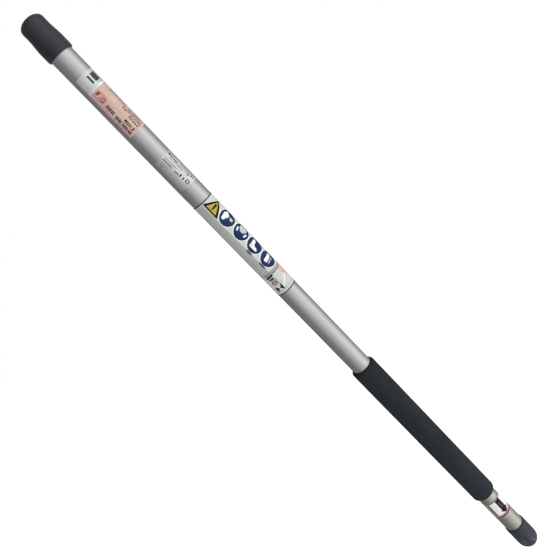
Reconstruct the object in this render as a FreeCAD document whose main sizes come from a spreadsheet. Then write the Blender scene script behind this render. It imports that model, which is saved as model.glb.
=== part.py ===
# Telescoping pole of a pole saw, retracted, with a vinyl cap on each end.
# FreeCAD 1.1 macro, millimetres, +Z up the pole, origin at the middle of the butt cap's closed end.
import FreeCAD, Part
import os
import sys

import Sketcher

doc = FreeCAD.newDocument("PoleSawPole")

# ---------------------------------------------------------------- driving dimensions
sheet = doc.addObject("Spreadsheet::Sheet", "Params")
DIMS = [
    ("overall", 902.5),          # closed end to closed end, retracted
    ("tube_od", 25.4),           # outer tube, 1 inch
    ("tube_id", 22.9),
    ("tube_low", 15.0),
    ("tube_high", 876.5),
    ("stage_od", 20.0),          # sliding inner tube
    ("stage_id", 17.6),
    ("stage_low", 122.5),
    ("stage_high", 879.0),
    ("slip", 0.02),              # radial play of pieces fixed to each other
    ("glide", 0.09),             # radial play of pieces that slide
    ("grip_od", 32.5),
    ("grip_low", 117.7),
    ("grip_high", 378.5),
    ("grip_round", 3.3),
    ("grip_play", 0.05),
    ("cap_skirt_od", 29.8),
    ("cap_nose_od", 27.3),
    ("butt_cap_od", 28.6),
    ("butt_lip_od", 28.0),
    ("butt_dome", 13.0),
    ("cap_wall_end", 2.2),
    ("cap_length", 45.4),
    ("head_cap_length", 44.2),
    ("cap_lip_od", 29.1),
    ("dome_depth", 7.0),
    ("step_near", 17.0),         # from the head end to the narrow end of the head cap's step
    ("step_far", 29.5),
    ("nose_bore", 24.4),
    ("skirt_play", 0.05),
    ("film", 0.19),              # label thickness
    ("warn_low", 518.1),
    ("warn_high", 657.3),
    ("rate_low", 679.7),
    ("rate_high", 719.8),
    ("inv_low", 756.0),
    ("inv_high", 830.5),
    ("ins_low", 74.7),
    ("ins_high", 107.5),
    ("warn_wrap", 354.0),
    ("rate_wrap", 106.0),
    ("inv_wrap", 118.0),
    ("ins_wrap", 354.0),
    ("bush_low", 846.5),
    ("bush_flange", 2.0),
    ("bush_pin_height", 863.5),
    ("bush_pin_d", 3.2),
    ("spigot_d", 23.0),
    ("spigot_low", 879.0),
    ("spigot_high", 897.5),
    ("shank_low", 830.5),
    ("head_bolt_d", 6.4),
    ("head_bolt_height", 890.0),
    ("ferrule_pin_d", 3.2),
    ("ferrule_pin_one", 842.5),
    ("ferrule_pin_two", 864.5),
    ("plug_low", 10.0),
    ("plug_high", 47.0),
    ("plug_socket_d", 12.0),
    ("plug_socket_depth", 28.0),
    ("plug_pin_d", 4.0),
    ("plug_pin_height", 42.0),
    ("stud_d", 8.0),
    ("stud_low", 56.5),
    ("stud_high", 142.0),
    ("nut_low", 57.5),
    ("nut_height", 8.0),
    ("nut_flats", 13.0),
    ("washer_thick", 1.6),
    ("washer_d", 18.0),
    ("cone_low", 69.0),
    ("cone_flange", 3.0),
    ("cone_high", 94.0),
    ("cone_big_d", 18.6),
    ("cone_small_d", 13.2),
    ("cone_play", 0.36),
    ("sleeve_low", 75.5),
    ("sleeve_high", 116.5),
    ("sleeve_slit", 2.4),
    ("sleeve_slit_top", 102.5),
    ("ring_height", 109.5),
    ("ring_wire", 1.8),
    ("core_low", 117.5),
    ("core_high", 162.5),
    ("core_pin_d", 4.0),
    ("core_pin_height", 152.5),
    ("rear_low", 182.5),
    ("rear_high", 196.5),
    ("pip_d", 5.0),
]
V = {}
for row, (alias, value) in enumerate(DIMS, start=1):
    sheet.set("A%d" % row, alias)
    sheet.set("B%d" % row, repr(value))
    sheet.setAlias("B%d" % row, alias)
    V[alias] = value
doc.recompute()


def number(text):
    """Value of a sum of signed terms such as 'tube_od/2 - slip', read from the sheet's own numbers."""
    total = 0.0
    for term in text.replace("-", "+-").split("+"):
        term = term.strip()
        if not term:
            continue
        sign = 1.0
        if term.startswith("-"):
            sign, term = -1.0, term[1:].strip()
        for k, factor in enumerate(term.replace("/", "*/").split("*")):
            factor = factor.strip()
            inverse = factor.startswith("/")
            factor = factor.lstrip("/").strip()
            x = V[factor] if factor in V else float(factor)
            sign = sign / x if inverse else sign * x
        total += sign
    return total


def bound(text):
    """The same sum as an expression on the sheet's aliases."""
    out, word = "", ""
    for ch in text + " ":
        if ch.isalnum() or ch == "_":
            word += ch
            continue
        out += ("Params." + word) if word in V else word
        word = ""
        out += ch
    return out.strip()


def plane(body, role):
    for f in body.Origin.OriginFeatures:
        if f.Role == role:
            return f
    raise RuntimeError(role)


def new_body(name):
    body = doc.addObject("PartDesign::Body", name)
    body.Label = name
    return body


def sketch_on(body, role, name):
    sk = body.newObject("Sketcher::SketchObject", name)
    sk.AttachmentSupport = (plane(body, role), [""])
    sk.MapMode = "FlatFace"
    return sk


def polygon(sk, points):
    """Closed profile; every corner is placed from the origin by bound distances. points: (r text, z text)."""
    xy = [(number(r), number(z)) for r, z in points]
    n = len(xy)
    for i in range(n):
        a, b = xy[i], xy[(i + 1) % n]
        sk.addGeometry(
            Part.LineSegment(FreeCAD.Vector(a[0], a[1], 0), FreeCAD.Vector(b[0], b[1], 0)),
            False,
        )
    for i in range(n):
        sk.addConstraint(Sketcher.Constraint("Coincident", i, 2, (i + 1) % n, 1))
    for i, (r, z) in enumerate(points):
        x, y = xy[i]
        if abs(x) < 1e-9:
            sk.addConstraint(Sketcher.Constraint("PointOnObject", i, 1, -2))
        else:
            c = sk.addConstraint(Sketcher.Constraint("DistanceX", -1, 1, i, 1, x))
            sk.renameConstraint(c, "r%d" % i)
            sk.setExpression("Constraints.r%d" % i, bound(r))
        if abs(y) < 1e-9:
            sk.addConstraint(Sketcher.Constraint("PointOnObject", i, 1, -1))
        else:
            c = sk.addConstraint(Sketcher.Constraint("DistanceY", -1, 1, i, 1, y))
            sk.renameConstraint(c, "z%d" % i)
            sk.setExpression("Constraints.z%d" % i, bound(z))


def turned(name, points, sweep=None, start_deg=0.0):
    """A body turned about Z from an (r, z) profile; sweep is an alias when it is less than a full turn."""
    body = new_body(name)
    sk = sketch_on(body, "XZ_Plane", name + "_profile")
    polygon(sk, points)
    rev = body.newObject("PartDesign::Revolution", name + "_turn")
    rev.Profile = sk
    rev.ReferenceAxis = (sk, ["V_Axis"])
    rev.Angle = 360.0
    if sweep:
        rev.setExpression("Angle", bound(sweep))
    body.Tip = rev
    body.Placement = FreeCAD.Placement(
        FreeCAD.Vector(0, 0, 0), FreeCAD.Rotation(FreeCAD.Vector(0, 0, 1), start_deg)
    )
    doc.recompute()
    return body


def cross_hole(body, name, role, holes):
    """Round holes bored right through along the normal of a vertical origin plane. holes: (diameter text, height text)."""
    before = body.Shape.Volume
    sk = sketch_on(body, role, name)
    for i, (d, z) in enumerate(holes):
        g = sk.addGeometry(
            Part.Circle(FreeCAD.Vector(0, number(z), 0), FreeCAD.Vector(0, 0, 1), number(d) / 2),
            False,
        )
        sk.addConstraint(Sketcher.Constraint("PointOnObject", g, 3, -2))
        c = sk.addConstraint(Sketcher.Constraint("DistanceY", -1, 1, g, 3, number(z)))
        sk.renameConstraint(c, "height%d" % i)
        sk.setExpression("Constraints.height%d" % i, bound(z))
        c = sk.addConstraint(Sketcher.Constraint("Diameter", g, number(d)))
        sk.renameConstraint(c, "bore%d" % i)
        sk.setExpression("Constraints.bore%d" % i, bound(d))
    cut = body.newObject("PartDesign::Pocket", name + "_cut")
    cut.Profile = sk
    cut.Midplane = True
    cut.Type = "Length"
    cut.Length = 60.0
    body.Tip = cut
    doc.recompute()
    if not body.Shape.Volume < before - 0.5:
        raise RuntimeError(name + " cut nothing")
    return cut


def slot(body, name, role, width, low, high):
    """A straight slit right through, of a bound width, between two heights."""
    before = body.Shape.Volume
    sk = sketch_on(body, role, name)
    w = number(width) / 2
    lo, hi = number(low), number(high)
    pts = [(-w, lo), (w, lo), (w, hi), (-w, hi)]
    for i in range(4):
        a, b = pts[i], pts[(i + 1) % 4]
        sk.addGeometry(
            Part.LineSegment(FreeCAD.Vector(a[0], a[1], 0), FreeCAD.Vector(b[0], b[1], 0)), False
        )
    for i in range(4):
        sk.addConstraint(Sketcher.Constraint("Coincident", i, 2, (i + 1) % 4, 1))
    sk.addConstraint(Sketcher.Constraint("Horizontal", 2))
    sk.addConstraint(Sketcher.Constraint("Vertical", 1))
    sk.addConstraint(Sketcher.Constraint("Vertical", 3))
    sk.addConstraint(Sketcher.Constraint("Symmetric", 0, 1, 0, 2, -2))
    c = sk.addConstraint(Sketcher.Constraint("DistanceX", 0, 1, 0, 2, 2 * w))
    sk.renameConstraint(c, "wide")
    sk.setExpression("Constraints.wide", bound(width))
    c = sk.addConstraint(Sketcher.Constraint("DistanceY", -1, 1, 0, 1, lo))
    sk.renameConstraint(c, "foot")
    sk.setExpression("Constraints.foot", bound(low))
    c = sk.addConstraint(Sketcher.Constraint("DistanceY", -1, 1, 2, 1, hi))
    sk.renameConstraint(c, "top")
    sk.setExpression("Constraints.top", bound(high))
    cut = body.newObject("PartDesign::Pocket", name + "_cut")
    cut.Profile = sk
    cut.Midplane = True
    cut.Type = "Length"
    cut.Length = 60.0
    body.Tip = cut
    doc.recompute()
    if not body.Shape.Volume < before - 0.5:
        raise RuntimeError(name + " cut nothing")


def cross_pin(name, d, height, length, chamfer=0.3):
    """A plain pin lying along X through the axis at a height, with chamfered ends."""
    cyl = doc.addObject("Part::Cylinder", name)
    cyl.setExpression("Radius", bound(d + "/2"))
    cyl.setExpression("Height", bound(length))
    cyl.Placement = FreeCAD.Placement(
        FreeCAD.Vector(-number(length) / 2, 0, number(height)),
        FreeCAD.Rotation(FreeCAD.Vector(0, 1, 0), 90),
    )
    cyl.setExpression("Placement.Base.x", "-(" + bound(length) + ")/2")
    cyl.setExpression("Placement.Base.z", bound(height))
    doc.recompute()
    ch = doc.addObject("Part::Chamfer", name + "_ends")
    ch.Base = cyl
    ch.Edges = [
        (i, chamfer, chamfer)
        for i, e in enumerate(cyl.Shape.Edges, start=1)
        if isinstance(e.Curve, Part.Circle)
    ]
    doc.recompute()
    return ch


def front(alpha):
    """Turning angle from +X of a direction given from the front (-Y), positive towards +X."""
    return alpha - 90.0


NODES = {}

# ---------------------------------------------------------------- outer tube and what is fixed to it
tube = turned(
    "outer_tube",
    [
        ("tube_id/2", "tube_low"),
        ("tube_od/2 - 0.3", "tube_low"),
        ("tube_od/2", "tube_low + 0.3"),
        ("tube_od/2", "tube_high - 0.3"),
        ("tube_od/2 - 0.3", "tube_high"),
        ("tube_id/2", "tube_high"),
    ],
)
cross_hole(
    tube,
    "outer_tube_pin_holes",
    "YZ_Plane",
    [("bush_pin_d + 0.04", "bush_pin_height"), ("plug_pin_d + 0.04", "plug_pin_height")],
)
NODES["outer_tube"] = tube

grip = turned(
    "foam_grip",
    [
        ("tube_od/2 + grip_play", "grip_low"),
        ("grip_od/2 - grip_round", "grip_low"),
        ("grip_od/2 - grip_round*0.5", "grip_low + grip_round*0.134"),
        ("grip_od/2 - grip_round*0.134", "grip_low + grip_round*0.5"),
        ("grip_od/2", "grip_low + grip_round"),
        ("grip_od/2", "grip_high - grip_round"),
        ("grip_od/2 - grip_round*0.134", "grip_high - grip_round*0.5"),
        ("grip_od/2 - grip_round*0.5", "grip_high - grip_round*0.134"),
        ("grip_od/2 - grip_round", "grip_high"),
        ("tube_od/2 + grip_play", "grip_high"),
    ],
)
NODES["foam_grip"] = grip

for name, low, high, sweep, alpha in (
    ("pictogram_label", "warn_low", "warn_high", "warn_wrap", -177.0),
    ("data_plate_label", "rate_low", "rate_high", "rate_wrap", -40.0),
    ("stock_label", "inv_low", "inv_high", "inv_wrap", -40.0),
    ("depth_mark_label", "ins_low", "ins_high", "ins_wrap", -177.0),
):
    NODES[name] = turned(
        name,
        [
            ("tube_od/2 + 0.01", low),
            ("tube_od/2 + 0.01 + film", low),
            ("tube_od/2 + 0.01 + film", high),
            ("tube_od/2 + 0.01", high),
        ],
        sweep=sweep,
        start_deg=front(alpha),
    )

bush = turned(
    "mouth_bush",
    [
        ("stage_od/2 + glide", "bush_low + 0.6"),
        ("stage_od/2 + glide + 0.5", "bush_low"),
        ("tube_id/2 - slip - 0.3", "bush_low"),
        ("tube_id/2 - slip", "bush_low + 0.6"),
        ("tube_id/2 - slip", "tube_high"),
        ("tube_od/2", "tube_high"),
        ("tube_od/2", "tube_high + bush_flange - 0.4"),
        ("tube_od/2 - 0.4", "tube_high + bush_flange"),
        ("stage_od/2 + glide + 0.5", "tube_high + bush_flange"),
        ("stage_od/2 + glide", "tube_high + bush_flange - 0.5"),
    ],
)
cross_hole(bush, "mouth_bush_holes", "YZ_Plane", [("bush_pin_d + 0.04", "bush_pin_height")])
NODES["mouth_bush"] = bush

# two short rivets, one each side, through the tube wall and the bush
rivet_parts = []
for side, turn in (("right", 90.0), ("left", -90.0)):
    r = doc.addObject("Part::Cylinder", "bush_rivet_" + side)
    r.setExpression("Radius", bound("bush_pin_d/2"))
    r.setExpression("Height", bound("tube_od/2 - stage_od/2 - glide - 0.55"))
    x = number("stage_od/2 + glide + 0.35")
    r.Placement = FreeCAD.Placement(
        FreeCAD.Vector(x if turn > 0 else -x, 0, number("bush_pin_height")),
        FreeCAD.Rotation(FreeCAD.Vector(0, 1, 0), turn),
    )
    r.setExpression("Placement.Base.z", bound("bush_pin_height"))
    rivet_parts.append(r)
rivets = doc.addObject("Part::Compound", "bush_rivets")
rivets.Links = rivet_parts
NODES["bush_rivets"] = rivets

plug = turned(
    "butt_plug",
    [
        ("0", "plug_low + plug_socket_depth"),
        ("plug_socket_d/2", "plug_low + plug_socket_depth"),
        ("plug_socket_d/2", "plug_low"),
        ("plug_socket_d/2 + 2", "plug_low"),
        ("tube_od/2 - 0.7", "tube_low - 0.8"),
        ("tube_od/2 - 0.5", "tube_low"),
        ("tube_id/2 - slip", "tube_low"),
        ("tube_id/2 - slip", "plug_high - 1"),
        ("tube_id/2 - slip - 1", "plug_high"),
        ("0", "plug_high"),
    ],
)
cross_hole(plug, "butt_plug_hole", "YZ_Plane", [("plug_pin_d + 0.04", "plug_pin_height")])
NODES["butt_plug"] = plug
NODES["butt_plug_pin"] = cross_pin(
    "butt_plug_pin_rod", "plug_pin_d", "plug_pin_height", "tube_od - 0.4"
)

# ---------------------------------------------------------------- end caps
dome = [
    ("0", "overall"),
    ("cap_nose_od/2*0.36", "overall"),
    ("cap_nose_od/2*0.62", "overall - dome_depth*0.17"),
    ("cap_nose_od/2*0.86", "overall - dome_depth*0.52"),
    ("cap_nose_od/2*0.965", "overall - dome_depth*0.80"),
    ("cap_nose_od/2", "overall - dome_depth*1.15"),
]
head_cap = turned(
    "head_cap",
    [
        ("tube_od/2 + skirt_play", "overall - head_cap_length"),
        ("cap_lip_od/2 - 0.5", "overall - head_cap_length"),
        ("cap_lip_od/2", "overall - head_cap_length + 0.7"),
        ("cap_skirt_od/2", "overall - head_cap_length + 3"),
        ("cap_skirt_od/2", "overall - step_far"),
        ("cap_nose_od/2", "overall - step_near"),
    ]
    + dome[::-1]
    + [
        ("0", "overall - cap_wall_end"),
        ("cap_nose_od/2*0.33", "overall - cap_wall_end"),
        ("cap_nose_od/2*0.56", "overall - cap_wall_end - dome_depth*0.14"),
        ("cap_nose_od/2*0.77", "overall - cap_wall_end - dome_depth*0.45"),
        ("nose_bore/2 - 0.3", "overall - cap_wall_end - dome_depth*0.71"),
        ("nose_bore/2", "overall - cap_wall_end - dome_depth*0.92"),
        ("nose_bore/2", "tube_high + bush_flange + 0.9"),
        ("tube_od/2 + skirt_play", "tube_high + bush_flange + 0.35"),
    ],
)
NODES["head_cap"] = head_cap

butt_cap = turned(
    "butt_cap",
    [
        ("0", "0"),
        ("butt_cap_od/2*0.36", "0"),
        ("butt_cap_od/2*0.62", "butt_dome*0.17"),
        ("butt_cap_od/2*0.86", "butt_dome*0.52"),
        ("butt_cap_od/2*0.965", "butt_dome*0.80"),
        ("butt_cap_od/2", "butt_dome*1.15"),
        ("butt_cap_od/2", "cap_length - 3"),
        ("butt_lip_od/2", "cap_length - 0.7"),
        ("butt_lip_od/2 - 0.5", "cap_length"),
        ("tube_od/2 + skirt_play", "cap_length"),
        ("tube_od/2 + skirt_play", "cap_wall_end + butt_dome*0.73"),
        ("butt_cap_od/2*0.78", "cap_wall_end + butt_dome*0.45"),
        ("butt_cap_od/2*0.565", "cap_wall_end + butt_dome*0.14"),
        ("butt_cap_od/2*0.33", "cap_wall_end"),
        ("0", "cap_wall_end"),
    ],
)
NODES["butt_cap"] = butt_cap

# ---------------------------------------------------------------- sliding stage
stage = turned(
    "inner_tube",
    [
        ("stage_id/2", "stage_low"),
        ("stage_od/2", "stage_low"),
        ("stage_od/2", "stage_high"),
        ("stage_id/2", "stage_high"),
    ],
)
cross_hole(
    stage,
    "inner_tube_pin_holes",
    "YZ_Plane",
    [
        ("core_pin_d + 0.04", "core_pin_height"),
        ("ferrule_pin_d + 0.04", "ferrule_pin_one"),
        ("ferrule_pin_d + 0.04", "ferrule_pin_two"),
    ],
)
cross_hole(
    stage,
    "inner_tube_pip_holes",
    "XZ_Plane",
    [("pip_d + 0.06", "rear_low/2 + rear_high/2")],
)
NODES["inner_tube"] = stage

ferrule = turned(
    "head_ferrule",
    [
        ("0", "shank_low"),
        ("stage_id/2 - slip - 1", "shank_low"),
        ("stage_id/2 - slip", "shank_low + 1"),
        ("stage_id/2 - slip", "spigot_low"),
        ("spigot_d/2", "spigot_low"),
        ("spigot_d/2", "spigot_high - 4"),
        ("spigot_d/2 - 3", "spigot_high"),
        ("0", "spigot_high"),
    ],
)
cross_hole(
    ferrule,
    "head_ferrule_holes",
    "YZ_Plane",
    [
        ("ferrule_pin_d + 0.04", "ferrule_pin_one"),
        ("ferrule_pin_d + 0.04", "ferrule_pin_two"),
        ("head_bolt_d", "head_bolt_height"),
    ],
)
NODES["head_ferrule"] = ferrule

pins = doc.addObject("Part::Compound", "ferrule_pins")
pins.Links = [
    cross_pin("ferrule_pin_low", "ferrule_pin_d", "ferrule_pin_one", "stage_od - 0.5"),
    cross_pin("ferrule_pin_top", "ferrule_pin_d", "ferrule_pin_two", "stage_od - 0.5"),
]
NODES["ferrule_pins"] = pins

rear = turned(
    "rear_glide",
    [
        ("stage_od/2 + slip", "rear_low"),
        ("tube_id/2 - glide - 0.5", "rear_low"),
        ("tube_id/2 - glide", "rear_low + 0.6"),
        ("tube_id/2 - glide", "rear_high - 0.6"),
        ("tube_id/2 - glide - 0.5", "rear_high"),
        ("stage_od/2 + slip", "rear_high"),
    ],
)
for k, (name, side) in enumerate((("rear_glide_pip_front", -1), ("rear_glide_pip_back", 1))):
    sk = sketch_on(rear, "XZ_Plane", name)
    g = sk.addGeometry(
        Part.Circle(
            FreeCAD.Vector(0, number("rear_low/2 + rear_high/2"), 0),
            FreeCAD.Vector(0, 0, 1),
            number("pip_d/2"),
        ),
        False,
    )
    sk.addConstraint(Sketcher.Constraint("PointOnObject", g, 3, -2))
    c = sk.addConstraint(
        Sketcher.Constraint("DistanceY", -1, 1, g, 3, number("rear_low/2 + rear_high/2"))
    )
    sk.renameConstraint(c, "height")
    sk.setExpression("Constraints.height", bound("rear_low/2 + rear_high/2"))
    c = sk.addConstraint(Sketcher.Constraint("Diameter", g, number("pip_d")))
    sk.renameConstraint(c, "bore")
    sk.setExpression("Constraints.bore", bound("pip_d"))
    # the sketch's plane is moved out to the pip's inner end, and the pad runs outward into the ring
    sk.AttachmentOffset = FreeCAD.Placement(
        FreeCAD.Vector(0, 0, -side * number("stage_id/2 + 0.1")), FreeCAD.Rotation()
    )
    sk.setExpression(
        "AttachmentOffset.Base.z", ("-" if side > 0 else "") + "(" + bound("stage_id/2 + 0.1") + ")"
    )
    pad = rear.newObject("PartDesign::Pad", name + "_pad")
    pad.Profile = sk
    pad.Type = "Length"
    pad.setExpression("Length", bound("stage_od/2 - stage_id/2 + 0.6"))
    pad.Reversed = side > 0
    rear.Tip = pad
    doc.recompute()
NODES["rear_glide"] = rear

# ---------------------------------------------------------------- twist lock at the foot of the inner tube
core = turned(
    "lock_core",
    [
        ("stud_d/2 + slip", "core_low"),
        ("stage_od/2 - 0.1", "core_low"),
        ("stage_od/2 - 0.1", "stage_low"),
        ("stage_id/2 - slip", "stage_low"),
        ("stage_id/2 - slip", "core_high - 1"),
        ("stage_id/2 - slip - 1", "core_high"),
        ("0", "core_high"),
        ("0", "stud_high + 0.5"),
        ("stud_d/2 + slip", "stud_high + 0.5"),
    ],
)
cross_hole(core, "lock_core_hole", "YZ_Plane", [("core_pin_d + 0.04", "core_pin_height")])
NODES["lock_core"] = core
NODES["lock_core_pin"] = cross_pin(
    "lock_core_pin_rod", "core_pin_d", "core_pin_height", "stage_od - 0.6"
)

stud = turned(
    "lock_stud",
    [
        ("0", "stud_low"),
        ("stud_d/2 - 0.8", "stud_low"),
        ("stud_d/2", "stud_low + 0.8"),
        ("stud_d/2", "stud_high - 0.8"),
        ("stud_d/2 - 0.8", "stud_high"),
        ("0", "stud_high"),
    ],
)
NODES["lock_stud"] = stud

# hexagon nut with a bore
nut_hex = doc.addObject("Part::Prism", "lock_nut_hex")
nut_hex.Polygon = 6
nut_hex.setExpression("Circumradius", bound("nut_flats/2") + "/cos(30)")
nut_hex.setExpression("Height", bound("nut_height"))
nut_hex.Placement = FreeCAD.Placement(FreeCAD.Vector(0, 0, number("nut_low")), FreeCAD.Rotation())
nut_hex.setExpression("Placement.Base.z", bound("nut_low"))
nut_bore = doc.addObject("Part::Cylinder", "lock_nut_bore")
nut_bore.setExpression("Radius", bound("stud_d/2 + slip"))
nut_bore.setExpression("Height", bound("nut_height + 4"))
nut_bore.setExpression("Placement.Base.z", bound("nut_low - 2"))
nut = doc.addObject("Part::Cut", "lock_nut")
nut.Base = nut_hex
nut.Tool = nut_bore
NODES["lock_nut"] = nut

washer_disc = doc.addObject("Part::Cylinder", "lock_washer_disc")
washer_disc.setExpression("Radius", bound("washer_d/2"))
washer_disc.setExpression("Height", bound("washer_thick"))
washer_disc.setExpression("Placement.Base.z", bound("nut_low + nut_height"))
washer_bore = doc.addObject("Part::Cylinder", "lock_washer_bore")
washer_bore.setExpression("Radius", bound("stud_d/2 + 0.2"))
washer_bore.setExpression("Height", bound("washer_thick + 4"))
washer_bore.setExpression("Placement.Base.z", bound("nut_low + nut_height - 2"))
washer = doc.addObject("Part::Cut", "lock_washer")
washer.Base = washer_disc
washer.Tool = washer_bore
NODES["lock_washer"] = washer

cone = turned(
    "cone_nut",
    [
        ("stud_d/2 + glide", "cone_low"),
        ("tube_id/2 - 0.85", "cone_low"),
        ("tube_id/2 - 0.85", "cone_low + cone_flange"),
        ("cone_big_d/2", "cone_low + cone_flange"),
        ("cone_small_d/2", "cone_high"),
        ("stud_d/2 + glide", "cone_high"),
    ],
)
NODES["cone_nut"] = cone

# radius of the cone at the sleeve's foot, so that the sleeve's bore runs parallel to it
slope = (number("cone_big_d/2") - number("cone_small_d/2")) / (
    number("cone_high") - number("cone_low + cone_flange")
)
foot_r = number("cone_big_d/2") - slope * (number("sleeve_low") - number("cone_low + cone_flange"))
next_row = len(DIMS) + 1
sheet.set("A%d" % next_row, "sleeve_foot_r")
sheet.set(
    "B%d" % next_row,
    "=cone_big_d/2 - (cone_big_d/2 - cone_small_d/2)/(cone_high - cone_low - cone_flange)"
    "*(sleeve_low - cone_low - cone_flange)",
)
sheet.setAlias("B%d" % next_row, "sleeve_foot_r")
doc.recompute()
V["sleeve_foot_r"] = float(sheet.sleeve_foot_r)
if abs(V["sleeve_foot_r"] - foot_r) > 1e-6:
    raise RuntimeError("sleeve_foot_r")
sleeve = turned(
    "expander_sleeve",
    [
        ("sleeve_foot_r + cone_play", "sleeve_low"),
        ("tube_id/2 - glide - 0.5", "sleeve_low"),
        ("tube_id/2 - glide", "sleeve_low + 0.6"),
        ("tube_id/2 - glide", "ring_height - 1.1"),
        ("tube_id/2 - glide - 1.9", "ring_height - 1.1"),
        ("tube_id/2 - glide - 1.9", "ring_height + 1.1"),
        ("tube_id/2 - glide", "ring_height + 1.1"),
        ("tube_id/2 - glide", "sleeve_high - 0.6"),
        ("tube_id/2 - glide - 0.5", "sleeve_high"),
        ("stud_d/2 + 0.4", "sleeve_high"),
        ("stud_d/2 + 0.4", "cone_high + 4.6"),
        ("cone_small_d/2 + cone_play", "cone_high + 3"),
        ("cone_small_d/2 + cone_play", "cone_high"),
    ],
)
slot(sleeve, "expander_sleeve_slit", "YZ_Plane", "sleeve_slit", "sleeve_low - 2", "sleeve_slit_top")
slot(sleeve, "expander_sleeve_slit_two", "XZ_Plane", "sleeve_slit", "sleeve_low - 2", "sleeve_slit_top")
NODES["expander_sleeve"] = sleeve

ring = doc.addObject("Part::Torus", "drag_ring")
ring.setExpression("Radius2", bound("ring_wire/2"))
ring.setExpression("Radius1", bound("tube_id/2 - glide - ring_wire/2"))
ring.setExpression("Placement.Base.z", bound("ring_height"))
NODES["drag_ring"] = ring

# ---------------------------------------------------------------- checks and export
doc.recompute()
for label, obj in NODES.items():
    if obj.Label != label:
        obj.Label = label
bad = []
for o in doc.Objects:
    if any(s in ("Invalid", "Error") for s in o.State):
        bad.append("%s is %s" % (o.Name, o.State))
for label, obj in NODES.items():
    s = obj.Shape
    if s.isNull() or not s.isValid() or not s.Solids or s.Volume <= 0:
        bad.append("%s has no valid solid" % label)
if bad:
    print("\n".join(bad))
    sys.exit(1)

os.makedirs("parts", exist_ok=True)
for label, obj in NODES.items():
    obj.Shape.exportStep("parts/%s.step" % label)
    b = obj.Shape.BoundBox
    print(
        "%-18s solids %d  z %.2f..%.2f  x %.2f..%.2f  y %.2f..%.2f  V %.0f"
        % (label, len(obj.Shape.Solids), b.ZMin, b.ZMax, b.XMin, b.XMax, b.YMin, b.YMax, obj.Shape.Volume)
    )
print(len(NODES), "nodes")
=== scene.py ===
import math

import bmesh
import bpy
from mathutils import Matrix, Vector, noise
from mathutils.geometry import delaunay_2d_cdt


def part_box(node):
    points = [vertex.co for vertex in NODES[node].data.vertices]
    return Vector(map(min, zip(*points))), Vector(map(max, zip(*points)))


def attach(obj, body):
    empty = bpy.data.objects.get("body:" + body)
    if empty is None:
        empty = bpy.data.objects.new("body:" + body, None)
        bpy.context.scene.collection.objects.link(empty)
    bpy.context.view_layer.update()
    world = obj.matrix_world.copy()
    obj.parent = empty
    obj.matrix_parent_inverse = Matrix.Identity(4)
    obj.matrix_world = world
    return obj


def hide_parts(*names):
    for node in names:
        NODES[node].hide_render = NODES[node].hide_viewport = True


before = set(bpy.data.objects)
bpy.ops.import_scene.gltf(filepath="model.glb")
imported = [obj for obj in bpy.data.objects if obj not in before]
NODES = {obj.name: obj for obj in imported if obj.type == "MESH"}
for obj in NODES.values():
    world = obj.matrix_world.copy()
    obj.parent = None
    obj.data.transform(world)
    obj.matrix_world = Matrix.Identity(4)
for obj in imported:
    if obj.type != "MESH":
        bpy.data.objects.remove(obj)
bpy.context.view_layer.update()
MM = 0.001

# ------------------------------------------------------------------ node helpers


def new_material(name, metallic=0.0, roughness=0.5, color=(0.5, 0.5, 0.5)):
    m = bpy.data.materials.new(name)
    m.use_nodes = True
    nt = m.node_tree
    nt.nodes.clear()
    out = nt.nodes.new("ShaderNodeOutputMaterial")
    b = nt.nodes.new("ShaderNodeBsdfPrincipled")
    nt.links.new(b.outputs["BSDF"], out.inputs["Surface"])
    b.inputs["Metallic"].default_value = metallic
    b.inputs["Roughness"].default_value = roughness
    b.inputs["Base Color"].default_value = (*color, 1)
    return m, nt, b


def coords(nt, scale=(1, 1, 1)):
    tc = nt.nodes.new("ShaderNodeTexCoord")
    mp = nt.nodes.new("ShaderNodeMapping")
    mp.inputs["Scale"].default_value = scale
    nt.links.new(tc.outputs["Object"], mp.inputs["Vector"])
    return mp.outputs["Vector"]


def noise_tex(nt, vec, scale, detail=3.0, rough=0.55, distortion=0.0):
    n = nt.nodes.new("ShaderNodeTexNoise")
    n.inputs["Scale"].default_value = scale
    n.inputs["Detail"].default_value = detail
    n.inputs["Roughness"].default_value = rough
    n.inputs["Distortion"].default_value = distortion
    nt.links.new(vec, n.inputs["Vector"])
    return n.outputs["Fac"]


def ramp(nt, fac, stops, interpolation="LINEAR"):
    r = nt.nodes.new("ShaderNodeValToRGB")
    r.color_ramp.interpolation = interpolation
    el = r.color_ramp.elements
    while len(el) > 1:
        el.remove(el[0])
    el[0].position = stops[0][0]
    el[0].color = (*stops[0][1], 1) if hasattr(stops[0][1], "__len__") else (stops[0][1],) * 3 + (1,)
    for p, c in stops[1:]:
        e = el.new(p)
        e.color = (*c, 1) if hasattr(c, "__len__") else (c, c, c, 1)
    nt.links.new(fac, r.inputs["Fac"])
    return r.outputs["Color"]


def mix(nt, fac, a, b, kind="MIX"):
    m = nt.nodes.new("ShaderNodeMix")
    m.data_type = "RGBA"
    m.blend_type = kind
    for sock, v in ((m.inputs["Factor"], fac), (m.inputs["A"], a), (m.inputs["B"], b)):
        put(nt, sock, v)
    # the colour sockets are the ones after the float and vector pairs
    for i, s in enumerate(m.inputs):
        if s.type == "RGBA" and s.name == "A":
            put(nt, s, a)
        if s.type == "RGBA" and s.name == "B":
            put(nt, s, b)
    return [o for o in m.outputs if o.type == "RGBA"][0]


def put(nt, sock, v):
    if isinstance(v, bpy.types.NodeSocket):
        if sock.type in ("RGBA", "VALUE"):
            nt.links.new(v, sock)
    elif hasattr(v, "__len__"):
        if sock.type == "RGBA":
            sock.default_value = (*v, 1)
    elif sock.type == "VALUE":
        sock.default_value = v


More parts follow.
